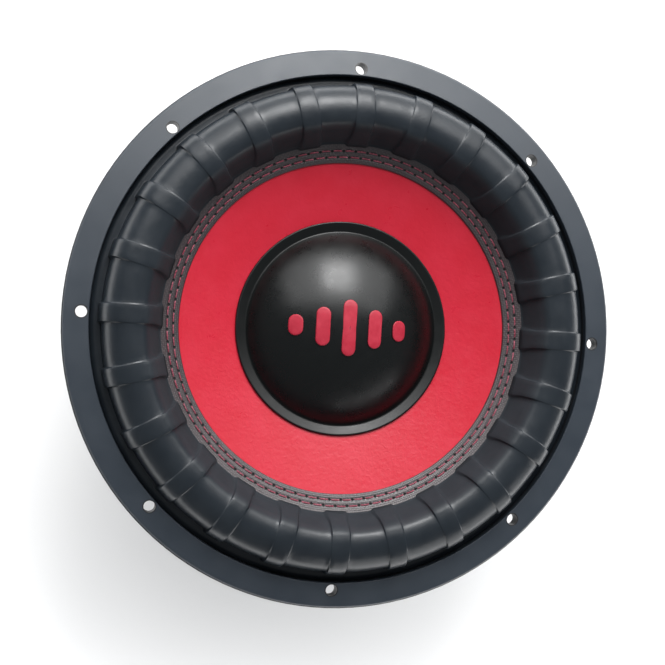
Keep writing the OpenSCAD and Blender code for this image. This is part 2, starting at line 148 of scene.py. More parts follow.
GAP = 0.02 * MM                        # between faces that would otherwise coincide
SLOPE_GAP = 0.05 * MM                  # the same on the cone's slope and round its neck


def dish_z(r):
    """Height of the cone's front at a radius."""
    return RIM_Z - (RIM_R - r) * math.tan(DISH_SLOPE)


def ring_z(r):
    """Height of the edge ring's front at a radius."""
    return dish_z(r) + RING_T + RING_RISE * (r - DISH_R)


# ------------------------------------------------------------ mesh helpers

def link_mesh(name, points, faces, material, uvs=None):
    mesh = bpy.data.meshes.new(name)
    mesh.from_pydata(points, [], faces)
    if uvs:
        layer = mesh.uv_layers.new(name="metres")
        layer.data.foreach_set("uv", [value for uv in uvs for value in uv])
    tidy = bmesh.new()
    tidy.from_mesh(mesh)
    bmesh.ops.recalc_face_normals(tidy, faces=tidy.faces)
    tidy.to_mesh(mesh)
    tidy.free()
    mesh.shade_smooth()
    mesh.materials.append(material)
    piece = bpy.data.objects.new(name, mesh)
    bpy.context.scene.collection.objects.link(piece)
    return piece


def skin(name, rows, material, row_lengths=None, point_lengths=None):
    """A closed mesh through rows of points. With lengths along the rows and across them it gets a
    UV map in metres."""
    count = len(rows)
    width = len(rows[0])
    faces = []
    uvs = []
    for i in range(count):
        for j in range(width):
            corners = [(i, j), (i + 1, j), (i + 1, j + 1), (i, j + 1)]
            faces.append([(a % count) * width + b % width for a, b in corners])
            if row_lengths:
                uvs += [(row_lengths[a], point_lengths[b]) for a, b in corners]
    return link_mesh(name, [p for row in rows for p in row], faces, material, uvs)


def lengths_along(outline):
    """How far along the closed outline each point lies, and then its whole length."""
    total = [0.0]
    for a, b in zip(outline, outline[1:] + outline[:1]):
        total.append(total[-1] + math.dist(a, b))
    return total


def rounded(corners, steps=5):
    """A closed outline of (r, z, radius) corners, each turned into an arc of that radius."""
    outline = []
    for k, (r, z, radius) in enumerate(corners):
        here = Vector((r, z))
        before = Vector(corners[k - 1][:2]) - here
        after = Vector(corners[(k + 1) % len(corners)][:2]) - here
        if radius <= 0:
            outline.append(tuple(here))
            continue
        half = before.angle(after) / 2
        reach = min(radius / math.tan(half), 0.45 * before.length, 0.45 * after.length)
        start = here + before.normalized() * reach
        end = here + after.normalized() * reach
        for step in range(steps + 1):
            t = step / steps
            outline.append(tuple((1 - t) ** 2 * start + 2 * t * (1 - t) * here + t * t * end))
    return outline


def lathe(name, outline, material, segments):
    """A closed outline of (r, z) turned round the Z axis."""
    rows = []
    for i in range(segments):
        c, s = math.cos(TURN * i / segments), math.sin(TURN * i / segments)
        rows.append([(r * c, r * s, z) for r, z in outline])
    around = [TURN * i / segments * outline[0][0] for i in range(segments + 1)]
    piece = skin(name, rows, material, around, lengths_along(outline))
    flatten = piece.modifiers.new("flat faces stay flat", "WEIGHTED_NORMAL")
    flatten.keep_sharp = True
    return piece


def tube(path, radius, sides):
    """Points and faces of a round tube along a path, with its ends closed."""
    points = []
    faces = []
    for i, place in enumerate(path):
        ahead = path[min(i + 1, len(path) - 1)] - path[max(i - 1, 0)]
        ahead.normalize()
        side = ahead.cross(Vector((0, 0, 1)) if abs(ahead.z) < 0.9 else Vector((0, 1, 0)))
        side.normalize()
        other = ahead.cross(side)
        for k in range(sides):
            angle = TURN * k / sides
            points.append(place + radius * (side * math.cos(angle) + other * math.sin(angle)))
    for i in range(len(path) - 1):
        for k in range(sides):
            n = (k + 1) % sides
            faces.append([i * sides + k, i * sides + n, (i + 1) * sides + n, (i + 1) * sides + k])
    faces.append(list(range(sides))[::-1])
    faces.append([(len(path) - 1) * sides + k for k in range(sides)])
    return points, faces


def bundle(name, paths, radius, material, sides):
    """One piece of several tubes."""
    points = []
    faces = []
    for path in paths:
        more, walls = tube(path, radius, sides)
        faces += [[len(points) + k for k in wall] for wall in walls]
        points += more
    return link_mesh(name, points, faces, material)


def polar(r, angle, z):
    return Vector((r * math.cos(angle), r * math.sin(angle), z))


def ease(t):
    t = min(max(t, 0.0), 1.0)
    return t * t * (3 - 2 * t)


def blend_inwards(piece):
    places = [v.co.copy() for v in piece.data.vertices]
    for v, place in zip(piece.data.vertices, places):
        v.co = (math.hypot(place.x, place.y), 0, 0)
    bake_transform(piece)
    for v, place in zip(piece.data.vertices, places):
        v.co = place


# -------------------------------------------------------- material helpers

class Look:
    """One procedural material: a Principled shader, and short calls for what feeds it."""

    def __init__(self, name, color, roughness=0.5, metallic=0.0, **sockets):
        self.material = bpy.data.materials.new(name)
        self.material.use_nodes = True
        self.tree = self.material.node_tree
        self.shader = self.tree.nodes["Principled BSDF"]
        self.shader.inputs["Base Color"].default_value = (*color, 1)
        self.shader.inputs["Roughness"].default_value = roughness
        self.shader.inputs["Metallic"].default_value = metallic
        for socket, value in sockets.items():
            self.shader.inputs[socket.replace("_", " ")].default_value = value
        self.color = color
        self.normal = None
        self.places = self.add("ShaderNodeTexCoord").outputs["Object"]

    def add(self, kind, inputs=None, **settings):
        node = self.tree.nodes.new(kind)
        for key, value in settings.items():
            setattr(node, key, value)
        for key, value in (inputs or {}).items():
            if isinstance(value, bpy.types.NodeSocket):
                self.tree.links.new(value, node.inputs[key])
            else:
                node.inputs[key].default_value = value
        return node

    def math(self, operation, first, second=0.0):
        return self.add("ShaderNodeMath", {0: first, 1: second}, operation=operation).outputs[0]

    def noise(self, grains, detail=3.0, where=None, distortion=0.0):
        """Noise from 0 to 1, with that many grains a metre."""
        return self.add("ShaderNodeTexNoise", {"Vector": where or self.places, "Scale": grains,
                        "Detail": detail, "Distortion": distortion}).outputs["Fac"]

    def ramp(self, value, low_at, high_at, low_to=0.0, high_to=1.0):
        node = self.add("ShaderNodeMapRange", {0: value, 1: low_at, 2: high_at, 3: low_to,
                        4: high_to})
        return node.outputs[0]

    def tint(self, share, color):
        """Mixes another colour into the base colour by share, over what is there already."""
        socket = self.shader.inputs["Base Color"]
        mix = self.add("ShaderNodeMix", {"Factor": share, "B": (*color, 1)}, data_type="RGBA")
        if socket.links:
            self.tree.links.new(socket.links[0].from_socket, mix.inputs["A"])
        else:
            mix.inputs["A"].default_value = (*self.color, 1)
        self.tree.links.new(mix.outputs["Result"], socket)

    def rough(self, value, smoothest, roughest, extra=None):
        """Roughness between two values, plus an extra share of 1 where extra is given."""
        roughness = self.ramp(value, 0.3, 0.7, smoothest, roughest)
        if extra:
            roughness = self.math("ADD", roughness, extra)
        self.tree.links.new(roughness, self.shader.inputs["Roughness"])

    def bump(self, height, depth):
        """Relief of that depth in metres, on top of the relief that is there already."""
        inputs = {"Height": height, "Distance": depth}
        if self.normal:
            inputs["Normal"] = self.normal
        self.normal = self.add("ShaderNodeBump", inputs).outputs["Normal"]
        self.tree.links.new(self.normal, self.shader.inputs["Normal"])

    def soft_edges(self, radius):
        """Rounds the look of hard edges."""
        self.normal = self.add("ShaderNodeBevel", {"Radius": radius}, samples=4).outputs["Normal"]
        self.tree.links.new(self.normal, self.shader.inputs["Normal"])

    def radius(self):
        """Distance from the Z axis."""
        split = self.add("ShaderNodeSeparateXYZ", {0: self.places})
        squares = [self.math("POWER", split.outputs[k], 2.0) for k in (0, 1)]
        return self.math("SQRT", self.math("ADD", *squares))

    def near_holes(self, count, ring_r, inner_r, outer_r):
        """1 within inner_r of the nearest hole of a ring of holes, the first at +Y, 0 past outer_r."""
        split = self.add("ShaderNodeSeparateXYZ", {0: self.places})
        angle = self.math("ARCTAN2", split.outputs[1], split.outputs[0])
        pitch = TURN / count
        turned = self.math("ADD", angle, pitch / 2 - TURN / 4)
        aside = self.math("SUBTRACT", self.math("FLOORED_MODULO", turned, pitch), pitch / 2)
        along = self.math("MULTIPLY", aside, ring_r)
        across = self.math("SUBTRACT", self.radius(), ring_r)
        squares = [self.math("POWER", side, 2.0) for side in (along, across)]
        return self.ramp(self.math("SQRT", self.math("ADD", *squares)), inner_r, outer_r, 1.0, 0.0)

    def weave(self, pitch):
        """Relief of a plain weave on the piece's UV map, 0 in the gaps and 1 on the threads."""
        uv = self.add("ShaderNodeUVMap", uv_map="metres").outputs[0]
        split = self.add("ShaderNodeSeparateXYZ", {0: uv})
        waves = [self.math("SINE", self.math("MULTIPLY", split.outputs[k], math.pi / pitch))
                 for k in (0, 1)]
        cell = self.math("MULTIPLY", *waves)
        pillow = self.math("POWER", self.math("ABSOLUTE", cell), 0.5)
        over = self.math("MULTIPLY", cell, 0.35)
        return self.math("ADD", pillow, over)


# --------------------------------------------------------------- materials

def surround_rubber():
    look = Look("surround_rubber", (0.014, 0.019, 0.025))
    look.tint(look.ramp(look.noise(60), 0.35, 0.7), (0.020, 0.026, 0.033))
    near_foot = look.ramp(look.radius(), ROLL_INNER_R + 5 * MM, ROLL_INNER_R + 9 * MM, 0.5, 0.0)
    look.rough(look.noise(140, 4), 0.28, 0.37, near_foot)
    look.bump(look.noise(2600, 2), 0.04 * MM)
    look.bump(look.noise(180, 3), 0.10 * MM)
    return look.material


def trim_rubber():
    look = Look("trim_rubber", (0.026, 0.036, 0.050), Specular_IOR_Level=0.85)
    look.soft_edges(0.5 * MM)
    look.tint(look.ramp(look.noise(45, 4), 0.35, 0.7), (0.032, 0.043, 0.058))
    look.rough(look.noise(90, 4), 0.40, 0.49)
    look.bump(look.noise(3200, 2), 0.03 * MM)
    # Painted shade: the bolt holes' walls and a thin band round their rims are tinted near black, for
    # the shade inside the holes.
    look.tint(look.near_holes(HOLES, HOLE_RING_R, HOLE_R + 0.4 * MM, HOLE_R + 0.7 * MM),
              (0.004, 0.004, 0.005))
    return look.material


def cast_paint():
    look = Look("cast_paint", (0.030, 0.032, 0.037))
    look.soft_edges(0.9 * MM)
    look.tint(look.ramp(look.noise(50, 4), 0.4, 0.7), (0.042, 0.045, 0.050))
    look.rough(look.noise(120, 4), 0.40, 0.55)
    look.bump(look.noise(1400, 3), 0.09 * MM)
    return look.material


def edge_cloth():
    look = Look("edge_cloth", (0.036, 0.024, 0.027), 0.36, Specular_IOR_Level=1.0)
    threads = look.weave(1.15 * MM)
    # Painted shade: the weave's crests are tinted lighter and its gaps left darker, as if the gaps lay
    # in shade.
    look.tint(look.ramp(threads, 0.5, 1.2), (0.062, 0.040, 0.045))
    look.tint(look.ramp(look.noise(70, 4), 0.45, 0.75, 0.0, 0.5), (0.030, 0.028, 0.030))
    look.bump(threads, 0.10 * MM)
    look.bump(look.noise(2400, 2), 0.05 * MM)
    return look.material


def needle_hole_shade():
    # Painted shade: near black, laid on the cloth's faces at the needle holes for the shade inside
    # them.
    look = Look("needle_hole_shade", (0.006, 0.006, 0.007), 0.85)
    look.bump(look.noise(2400, 2), 0.05 * MM)
    return look.material


def red_thread():
    look = Look("red_thread", (0.380, 0.060, 0.100), 0.50)
    look.tint(look.ramp(look.noise(500, 2), 0.4, 0.7), (0.480, 0.150, 0.200))
    look.bump(look.noise(6000, 2), 0.04 * MM)
    return look.material


def red_lacquer():
    look = Look("red_lacquer", (0.640, 0.020, 0.042), Specular_IOR_Level=0.42)
    look.tint(look.ramp(look.noise(55, 5), 0.40, 0.70, 0.0, 0.6), (0.690, 0.030, 0.060))
    look.rough(look.noise(160, 5, distortion=0.6), 0.27, 0.40)
    look.bump(look.noise(420, 5, distortion=0.4), 0.15 * MM)
    look.bump(look.noise(2600, 2), 0.03 * MM)
    return look.material


def cone_paper():
    look = Look("cone_paper", (0.022, 0.020, 0.019), 0.80)
    look.tint(look.ramp(look.noise(500, 5), 0.4, 0.7), (0.040, 0.036, 0.034))
    look.bump(look.noise(1400, 4), 0.10 * MM)
    return look.material


def cap_plastic():
    look = Look("cap_plastic", (0.004, 0.005, 0.005))
    on_brim = look.ramp(look.radius(), DOME_R, DOME_R + 1 * MM, 0.0, 0.05)
    look.rough(look.noise(130, 4), 0.25, 0.33, on_brim)
    look.bump(look.noise(2200, 2), 0.015 * MM)
    return look.material


def emblem_red():
    look = Look("emblem_red", (0.480, 0.020, 0.045))
    look.tint(look.ramp(look.noise(200, 3), 0.4, 0.7), (0.560, 0.035, 0.065))
    look.rough(look.noise(300, 3), 0.34, 0.46)
    look.bump(look.noise(2600, 2), 0.02 * MM)
    return look.material


def spider_cloth():
    look = Look("spider_cloth", (0.560, 0.380, 0.130), 0.80, Sheen_Weight=0.2)
    threads = look.weave(1.3 * MM)
    # Painted shade: the weave's low gaps are tinted darker than its threads.
    look.tint(look.ramp(threads, 0.1, 0.9, 1.0, 0.0), (0.260, 0.160, 0.045))
    look.tint(look.ramp(look.noise(40, 4), 0.45, 0.75, 0.0, 0.4), (0.420, 0.270, 0.085))
    look.bump(threads, 0.25 * MM)
    return look.material


def black_steel():
    look = Look("black_steel", (0.022, 0.022, 0.024), metallic=0.6)
    look.soft_edges(0.6 * MM)
    turned = look.add("ShaderNodeCombineXYZ", {0: look.radius()}).outputs[0]
    look.rough(look.noise(60, 4), 0.32, 0.48)
    look.bump(look.noise(1800, 2, turned), 0.03 * MM)
    return look.material


def ferrite():
    look = Look("ferrite", (0.040, 0.040, 0.043), 0.78)
    look.tint(look.ramp(look.noise(300, 5), 0.4, 0.7), (0.060, 0.058, 0.058))
    look.bump(look.noise(1500, 4), 0.10 * MM)
    return look.material


def boot_rubber():
    look = Look("boot_rubber", (0.014, 0.014, 0.016))
    look.tint(look.ramp(look.noise(50, 4), 0.4, 0.75), (0.026, 0.026, 0.029))
    look.rough(look.noise(110, 4), 0.42, 0.60)
    look.bump(look.noise(2200, 2), 0.05 * MM)
    return look.material


def metal(name, color, roughness):
    look = Look(name, color, metallic=1.0)
    look.soft_edges(0.25 * MM)
    look.rough(look.noise(225, 4), roughness - 0.07, roughness + 0.10)
    look.bump(look.noise(900, 3), 0.02 * MM)
    return look.material


def moulded(name, color, roughness):
    look = Look(name, color)
    look.soft_edges(0.4 * MM)
    look.tint(look.ramp(look.noise(150, 3), 0.4, 0.7, 0.0, 0.5), tuple(1.5 * c for c in color))
    look.rough(look.noise(200, 3), roughness - 0.05, roughness + 0.07)
    look.bump(look.noise(2600, 2), 0.03 * MM)
    return look.material


def kraft_wrap():
    look = Look("kraft_wrap", (0.330, 0.190, 0.085), 0.70)
    look.tint(look.ramp(look.noise(400, 5), 0.4, 0.7), (0.260, 0.140, 0.060))
    look.bump(look.noise(1600, 4), 0.05 * MM)
    return look.material


def braid():
    look = Look("lead_braid", (0.560, 0.400, 0.240), 0.36, metallic=1.0)
    look.tint(look.ramp(look.noise(900, 3), 0.4, 0.7), (0.400, 0.270, 0.150))
    look.bump(look.noise(5000, 2), 0.05 * MM)
    return look.material


def pale_floor():
    look = Look("pale_floor", (0.86, 0.86, 0.86), 0.85)
    look.bump(look.noise(300, 3), 0.03 * MM)
    return look.material


# ---------------------------------------------------------------- surround

def roll_arch():
    """The roll from its outer side over the crest to its steep inner wall: (r, z, outward r,
    outward z). It is part of a circle, then a curve down to the edge ring."""
    points = []
    crest_steps, wall_steps = 36, 14
    brow = math.radians(112)
    brow_pull = 4.5 * MM
    foot_pull = Vector((3.2, 7.4)) * MM
    for step in range(crest_steps + 1):
        turn = brow * step / crest_steps
        c, s = math.cos(turn), math.sin(turn)
        points.append((ROLL_MID_R + ROLL_R * c, ROLL_MID_Z + ROLL_R * s, c, s))
    top = Vector(points[-1][:2])
    foot = Vector((ROLL_INNER_R, ring_z(ROLL_INNER_R) + TOE))
    pulls = [top, top + brow_pull * Vector((-math.sin(brow), math.cos(brow))),
             foot + foot_pull, foot]
    for step in range(1, wall_steps + 1):
        t = step / wall_steps
        shares = ((1 - t) ** 3, 3 * t * (1 - t) ** 2, 3 * t * t * (1 - t), t ** 3)
        place = sum((share * pull for share, pull in zip(shares, pulls)), Vector((0, 0)))
        legs = [end - start for start, end in zip(pulls, pulls[1:])]
        along = (1 - t) ** 2 * legs[0] + 2 * t * (1 - t) * legs[1] + t * t * legs[2]
        along.normalize()
        points.append((place.x, place.y, along.y, -along.x))
    return points


def roll_sections():
    """Points round the surround's section, from its lip over the roll to the foot on the cone and
    back inside: (r, z, outward r, outward z, share of a band's height, share of its flare)."""
    lip_z = LEDGE_Z + LIP
    lip_r = high("surround").x - 0.1 * MM
    points = [(lip_r, lip_z, 0, 1, 0, 0), (ROLL_OUTER_R + 3 * MM, lip_z, 0, 1, 0, 0)]

    fillet = 0.8 * MM
    low_share, low_flare = 1.4, 0.3
    corner_steps, side_steps = 4, 6
    for step in range(corner_steps + 1):
        turn = math.pi / 2 * step / corner_steps
        points.append((ROLL_OUTER_R + fillet * (1 - math.sin(turn)),
                       lip_z + fillet * (1 - math.cos(turn)), math.sin(turn), math.cos(turn),
                       low_share * ease(step / (corner_steps - 1)), low_flare))
    for step in range(1, side_steps):
        t = step / side_steps
        points.append((ROLL_OUTER_R, lip_z + fillet + t * (ROLL_MID_Z - lip_z - fillet), 1, 0,
                       low_share + (1 - low_share) * ease(t), low_flare * (1 - t)))

    arch = roll_arch()
    flare_w = 4 * MM
    for r, z, out_r, out_z in arch:
        flare = ease((ROLL_INNER_R + flare_w - r) / flare_w)
        points.append((r, z, out_r, out_z, 1 - BAND_FADE * max(out_z, 0) ** 4, flare))

    toe_edge = 0.2 * MM
    toe_loss = 0.3
    for step in range(1, corner_steps + 1):
        turn = math.pi / 2 * step / corner_steps
        r = ROLL_INNER_R - TOE * (1 - math.cos(turn))
        points.append((r, ring_z(r) + toe_edge + (TOE - toe_edge) * (1 - math.sin(turn)),
                       -math.cos(turn), math.sin(turn), 1 - toe_loss * step / corner_steps, 1))
    toe_r, heel_r = ROLL_INNER_R - TOE, ROLL_INNER_R + RUBBER
    points.append((toe_r, ring_z(toe_r) + SLOPE_GAP, -1, 0, 0.9, 1))
    points.append((heel_r, ring_z(heel_r) + SLOPE_GAP, 0, 0, 0, 0))

    for r, z, out_r, out_z in reversed(arch[:-1]):
        points.append((r - RUBBER * out_r, z - RUBBER * out_z, 0, 0, 0, 0))
    points.append((ROLL_OUTER_R - RUBBER, LEDGE_Z + GAP, 0, 0, 0, 0))
    points.append((lip_r, LEDGE_Z + GAP, 0, 0, 0, 0))
    return points


def along_pitch(half, edge, pitch):
    """Lengths from the middle of one band to the middle of the next, each with the share of a
    band's height there. A band is 2 * half wide, and its sides slope over 2 * edge."""
    flat, end = half - edge, half + edge
    slope_steps, gap_steps = 6, 8
    near = [(0.0, 1.0), (flat / 2, 1.0)]
    near += [(flat + 2 * edge * k / slope_steps, 1 - ease(k / slope_steps))
             for k in range(slope_steps + 1)]
    between = [(end + (pitch - 2 * end) * k / gap_steps, 0.0) for k in range(1, gap_steps)]
    return near + between + [(pitch - s, height) for s, height in reversed(near[1:])]


def surround():
    sections = roll_sections()
    turn = TURN / BANDS
    columns = []
    for r, *_, share, flare in sections:
        lengths = along_pitch(BAND_W / 2 + BAND_FLARE * flare,
                              BAND_EDGE * (1 + EDGE_FLARE * flare), r * turn)
        columns.append([(s / r, BAND_H * share * height) for s, height in lengths])
    rows = []
    for band in range(BANDS):
        for k in range(len(columns[0])):
            row = []
            for (r, z, out_r, out_z, *_), column in zip(sections, columns):
                angle, rise = column[k]
                row.append(polar(r + rise * out_r, TURN / 4 + band * turn + angle,
                                 z + rise * out_z))
            rows.append(row)
    piece = skin("surround_roll", rows, surround_rubber())
    blend_inwards(piece)
    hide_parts("surround")


# ---------------------------------------------------- edge ring and stitches

def needle_offsets(r, angle):
    """How far a place lies from each row's nearest needle hole, along the row and across it. The
    holes lie between the stitches."""
    offsets = []
    for row_r, shift in STITCH_ROWS.values():
        along = ((angle - TURN / 4) / TURN * STITCHES - shift - 0.5) % 1.0
        offsets.append((min(along, 1 - along) * TURN * row_r / STITCHES, abs(r - row_r)))
    return offsets


def thread_pull(r, angle):
    """How far the tight thread pulls the cloth down at a place, deepest at a needle hole."""
    groove, groove_half = 0.22 * MM, 1.3 * MM
    dent, dent_r = 0.75 * MM, 0.85 * MM
    pull = 0.0
    for along, across in needle_offsets(r, angle):
        pull = max(pull, groove * ease(1 - across / groove_half),
                   dent * ease(1 - math.hypot(along, across) / dent_r))
    return pull


def at_needle_hole(place):
    r, angle = math.hypot(place.x, place.y), math.atan2(place.y, place.x)
    return any(math.hypot(*offset) < NEEDLE_R for offset in needle_offsets(r, angle))


def edge_ring():
    segments = STITCHES * 16
    edge = 0.5 * MM
    inner_r = DISH_R + GAP
    corner_steps, steps = 4, 34
    turns = [math.pi / 2 * k / corner_steps for k in range(corner_steps + 1)]
    profile = [(inner_r + edge * (1 - math.cos(turn)), edge * (math.sin(turn) - 1))
               for turn in turns]
    profile += [(inner_r + edge + (RING_OUTER_R - inner_r - edge) * k / steps, 0.0)
                for k in range(1, steps + 1)]
    rows = []
    for i in range(segments):
        angle = TURN * i / segments
        row = [polar(inner_r, angle, dish_z(inner_r) + GAP)]
        for r, rise in profile:
            row.append(polar(r, angle, ring_z(r) + rise - thread_pull(r, angle)))
        row.append(polar(RING_OUTER_R, angle, dish_z(RING_OUTER_R) + GAP))
        rows.append(row)
    outline = [(p.x, p.z) for p in rows[0]]
    cloth_r = 100 * MM
    around = [TURN * i / segments * cloth_r for i in range(segments + 1)]
    piece = skin("edge_ring_cloth", rows, edge_cloth(), around, lengths_along(outline))
    # The faces at the needle holes get the painted shade material.
    piece.data.materials.append(needle_hole_shade())
    for face in piece.data.polygons:
        face.material_index = int(at_needle_hole(face.center))
    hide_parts("edge_ring")
    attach(piece, "cone_assembly")


def stitch_row(row, material):
    row_r, shift = STITCH_ROWS[row]
    arch_h, sunk = 0.62 * MM, 0.55 * MM
    twists = 1.5
    steps = 10
    paths = []
    for stitch in range(STITCHES):
        middle = TURN / 4 + TURN * (stitch + shift) / STITCHES
        for ply in (0, 1):
            path = []
            for k in range(steps + 1):
                t = k / steps - 0.5
                twist = TURN * (twists * t + ply / 2)
                r = row_r + THREAD_R * math.cos(twist)
                arch = arch_h * (1 - (2 * t) ** 4) - sunk
                path.append(polar(r, middle + t * STITCH_L / row_r,
                                  ring_z(r) + arch + THREAD_R * (1 + math.sin(twist))))
            paths.append(path)
    piece = bundle("thread_" + row, paths, THREAD_R, material, 6)
    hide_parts("stitches_" + row)
    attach(piece, "cone_assembly")


# -------------------------------------------------------------------- cone

def cone():
    turn_z = dish_z(NECK_TURN_R)
    neck_z = turn_z - (NECK_TURN_R - NECK_R) * math.tan(NECK_SLOPE)
    neck_low = low("cone").z
    neck_outer_r = NECK_R + 1.2 * MM
    edge, neck_bend, dish_bend = 0.3 * MM, 1.5 * MM, 6 * MM
    outline = rounded([
        (RIM_R, RIM_Z, edge), (NECK_TURN_R, turn_z, dish_bend), (NECK_R, neck_z, neck_bend),
        (NECK_R, neck_low, 0), (neck_outer_r, neck_low, edge),
        (neck_outer_r, neck_z - CONE_T, neck_bend), (NECK_TURN_R, turn_z - CONE_T, dish_bend),
        (RIM_R, RIM_Z - CONE_T, edge)])
    piece = lathe("cone_dish", outline, red_lacquer(), 384)
    piece.data.materials.append(cone_paper())
    for face in piece.data.polygons:
        face.material_index = int(face.normal.z < 0)
    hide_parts("cone")
    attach(piece, "cone_assembly")


def dome_ball():
    """Radius and centre height of the ball that the dome is cut from."""
    ball_r = (DOME_R ** 2 + DOME_H ** 2) / (2 * DOME_H)
    return ball_r, dish_z(DOME_R) + BRIM_T + DOME_H - ball_r


def dome_z(r, above=0.0):
    ball_r, ball_z = dome_ball()
    return ball_z + math.sqrt((ball_r + above) ** 2 - r ** 2)


def dust_cap():
    steps = 48
    wall = 1.2 * MM
    top = [(DOME_R * k / steps, dome_z(DOME_R * k / steps)) for k in range(steps)]
    top[0] = (0.01 * MM, dome_z(0))
    brim = [(DOME_R - 0.15 * MM, dish_z(DOME_R) + BRIM_T + 0.35 * MM),
            (DOME_R + 0.25 * MM, dish_z(DOME_R) + BRIM_T + 0.08 * MM),
            (DOME_R + 0.9 * MM, dish_z(DOME_R + 0.9 * MM) + BRIM_T),
            (BRIM_R - 1.2 * MM, dish_z(BRIM_R - 1.2 * MM) + BRIM_T + 0.6 * MM),
            (BRIM_R - 0.5 * MM, dish_z(BRIM_R) + BRIM_T + 0.5 * MM),
            (BRIM_R - 0.1 * MM, dish_z(BRIM_R) + BRIM_T),
            (BRIM_R, dish_z(BRIM_R) + SLOPE_GAP)]
    under = [(DOME_R - 1 * MM, dish_z(DOME_R - 1 * MM) + SLOPE_GAP)]
    inside = [(r, z - wall) for r, z in reversed(top)]
    piece = lathe("dust_cap_dome", top + brim + under + inside, cap_plastic(), 384)
    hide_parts("dust_cap")
    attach(piece, "cone_assembly")


def bar_ring(middle, length, inset, rise):
    """One closed line round an emblem bar, set in from its outline and up from the dome."""
    steps = 10
    half = EMBLEM_W / 2 - inset
    straight = (length - EMBLEM_W) / 2
    points = []
    for end in (1, -1):
        for k in range(steps + 1):
            angle = math.pi * k / steps + (0 if end > 0 else math.pi)
            x = middle + half * math.cos(angle)
            y = end * straight + half * math.sin(angle)
            points.append(Vector((x, y, dome_z(math.hypot(x, y)) + rise)))
    return points


def emblem():
    edge = 0.45 * MM
    rings = [(0.0, -0.1 * MM), (0.0, EMBLEM_H - edge)]
    rings += [(edge * (1 - math.cos(t)), EMBLEM_H - edge + edge * math.sin(t))
              for t in (math.pi / 6, math.pi / 3, math.pi / 2)]
    rings += [(inset * MM, EMBLEM_H) for inset in (1.2, 2.0, 2.8, 3.5)]
    points = []
    faces = []
    for bar, length in enumerate(EMBLEM_BARS):
        middle = (bar - (len(EMBLEM_BARS) - 1) / 2) * EMBLEM_PITCH
        first = len(points)
        for inset, rise in rings:
            points += bar_ring(middle, length, inset, rise)
        width = (len(points) - first) // len(rings)
        for i in range(len(rings) - 1):
            for k in range(width):
                n = (k + 1) % width
                a, b = first + i * width, first + (i + 1) * width
                faces.append([a + k, a + n, b + n, b + k])
        faces.append([first + (len(rings) - 1) * width + k for k in range(width)])
        faces.append([first + k for k in range(width)][::-1])
    piece = link_mesh("emblem_bars", points, faces, emblem_red())
    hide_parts("emblem")
    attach(piece, "cone_assembly")


# -------------------------------------------------------- spiders and coil

def spider(node, material):
    inner_r = NECK_R + SLOPE_GAP
    outer_r = high(node).x
    flat_z = (low(node).z + high(node).z) / 2
    start, end = inner_r + SPIDER_FLAT, outer_r - SPIDER_FLAT
    steps = 150
    top = []
    for k in range(steps + 1):
        r = inner_r + (outer_r - inner_r) * k / steps
        inside = start < r < end
        wave = math.sin(TURN * SPIDER_WAVES * (r - start) / (end - start)) if inside else 0.0
        top.append((r, flat_z + SPIDER_T / 2 + SPIDER_WAVE * wave))
    bottom = [(r, z - SPIDER_T) for r, z in reversed(top)]
    piece = lathe(node + "_cloth", top + bottom, material, 220)
    blend_inwards(piece)
    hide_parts(node)


def winding():
    top_z, bottom_z = high("coil_winding").z, low("coil_winding").z
    outer_r = high("coil_winding").x
    inner_r = outer_r - 2 * MM
    wire = 0.95 * MM
    groove = 0.44 * wire
    turns = int((top_z - bottom_z) / wire)
    outline = [(inner_r, top_z), (outer_r - wire / 2, top_z)]
    for turn in range(turns):
        for k in (0.15, 0.5, 0.85):
            outline.append((outer_r - groove * (2 * k - 1) ** 2, top_z - (turn + k) * wire))
    outline += [(outer_r - wire / 2, bottom_z), (inner_r, bottom_z)]
    piece = lathe("winding_turns", outline, metal("copper_wire", (0.72, 0.30, 0.12), 0.32), 128)
    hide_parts("coil_winding")
    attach(piece, "cone_assembly")


def leads(side, sign, material):
    """Two braided leads of one terminal, each a rope of strands on an arch."""
    start_x, end_x = 43.0 * MM, 96.3 * MM
    start_z, end_z = -29 * MM, -36 * MM
    rise = 5 * MM
    apart = 19 * MM
    strand_r = 0.42 * MM
    rope_r = 0.68 * MM
    strands, twists = 5, 9
    steps = 90
    for pole, y in (("pos", apart / 2), ("neg", -apart / 2)):
        paths = []
        for strand in range(strands):
            path = []
            for k in range(steps + 1):
                t = k / steps
                turn = TURN * (twists * t + strand / strands)
                x = start_x + (end_x - start_x) * t
                z = start_z + (end_z - start_z) * t + rise * math.sin(math.pi * t)
                path.append(Vector((sign * x, sign * (y + rope_r * math.cos(turn)),
                                    z + rope_r * math.sin(turn))))
            paths.append(path)
        piece = bundle("lead_%s_%s" % (side, pole), paths, strand_r, material, 6)
        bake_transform(piece)
        if pole == "pos":
            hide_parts("tinsel_leads_" + side)


# ------------------------------------------------------------------- motor

